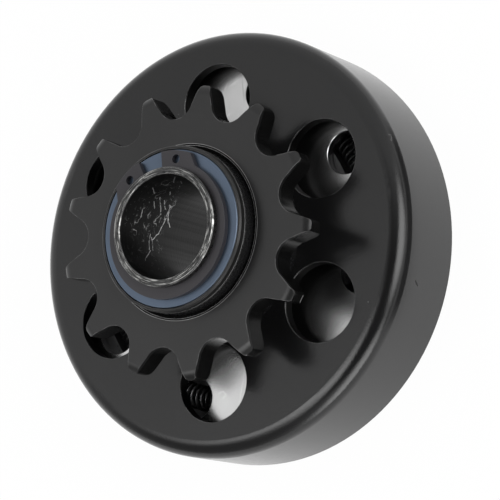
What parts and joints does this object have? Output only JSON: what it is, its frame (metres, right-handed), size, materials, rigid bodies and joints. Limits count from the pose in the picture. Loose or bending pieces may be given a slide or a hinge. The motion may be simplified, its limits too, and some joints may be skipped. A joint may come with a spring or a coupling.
{
  "type": "centrifugal clutch",
  "caption": "Centrifugal clutch: a chain sprocket on a drum that sprung shoes grip as the keyed hub speeds up.",
  "frame": {"origin": "centre of the drum's open rim, on the plane that it stands on", "axes": "+Z along the shaft bore, from the drum's open rim to the sprocket; +X through the gap between the last shoe and the first"},
  "size_m": [0.106, 0.106, 0.0464],
  "materials": {
    "black_drum": "satin black coating on the pressed drum",
    "black_oxide": "matte black finish on sprocket and boss",
    "bronze": "oil-soaked bronze",
    "hub_steel": "turned steel, dark grease in the bore",
    "spider_steel": "dark forged steel",
    "ground_steel": "bright ground steel with fine scratches",
    "plate_steel": "plain rolled steel",
    "blued_steel": "blue-grey tempered steel",
    "spring_steel": "dark phosphated spring steel",
    "shoe_steel": "dark sintered steel",
    "lining": "bonded friction material"
  },
  "bodies": {
    "drum_assembly": {"drum": "black_drum", "boss": "black_oxide", "sprocket": "black_oxide", "bushing": "bronze"},
    "driver": {"hub": "hub_steel", "spider": "spider_steel", "guide_plate": "ground_steel", "rear_plate": "plate_steel", "front_washer": "blued_steel", "rear_washer": "plate_steel", "front_circlip": "spring_steel", "rear_circlip": "spring_steel", "garter_spring": "spring_steel"},
    "shoe_1_assembly": {"shoe_1": "shoe_steel", "lining_1": "lining"},
    "shoe_2_assembly": {"shoe_2": "shoe_steel", "lining_2": "lining"},
    "shoe_3_assembly": {"shoe_3": "shoe_steel", "lining_3": "lining"},
    "shoe_4_assembly": {"shoe_4": "shoe_steel", "lining_4": "lining"}
  },
  "joints": [
    {"name": "driver_spin", "type": "hinge", "parent": "drum_assembly", "child": "driver", "pos_m": [0, 0, 0.0236], "axis": [0, 0, 1], "continuous": true},
    {"name": "shoe_1_slide", "type": "slide", "parent": "driver", "child": "shoe_1_assembly", "axis": [0.7071, 0.7071, 0], "range_m": [0, 0.0008], "stiffness_N_per_m": 5000, "springref_m": -0.004, "deforming": ["garter_spring"]},
    {"name": "shoe_2_slide", "type": "slide", "parent": "driver", "child": "shoe_2_assembly", "axis": [-0.7071, 0.7071, 0], "range_m": [0, 0.0008], "stiffness_N_per_m": 5000, "springref_m": -0.004},
    {"name": "shoe_3_slide", "type": "slide", "parent": "driver", "child": "shoe_3_assembly", "axis": [-0.7071, -0.7071, 0], "range_m": [0, 0.0008], "stiffness_N_per_m": 5000, "springref_m": -0.004},
    {"name": "shoe_4_slide", "type": "slide", "parent": "driver", "child": "shoe_4_assembly", "axis": [0.7071, -0.7071, 0], "range_m": [0, 0.0008], "stiffness_N_per_m": 5000, "springref_m": -0.004}
  ],
  "couplings": [
    {"joint": "shoe_2_slide", "follows": "shoe_1_slide", "ratio": 1},
    {"joint": "shoe_3_slide", "follows": "shoe_1_slide", "ratio": 1},
    {"joint": "shoe_4_slide", "follows": "shoe_1_slide", "ratio": 1}
  ]
}
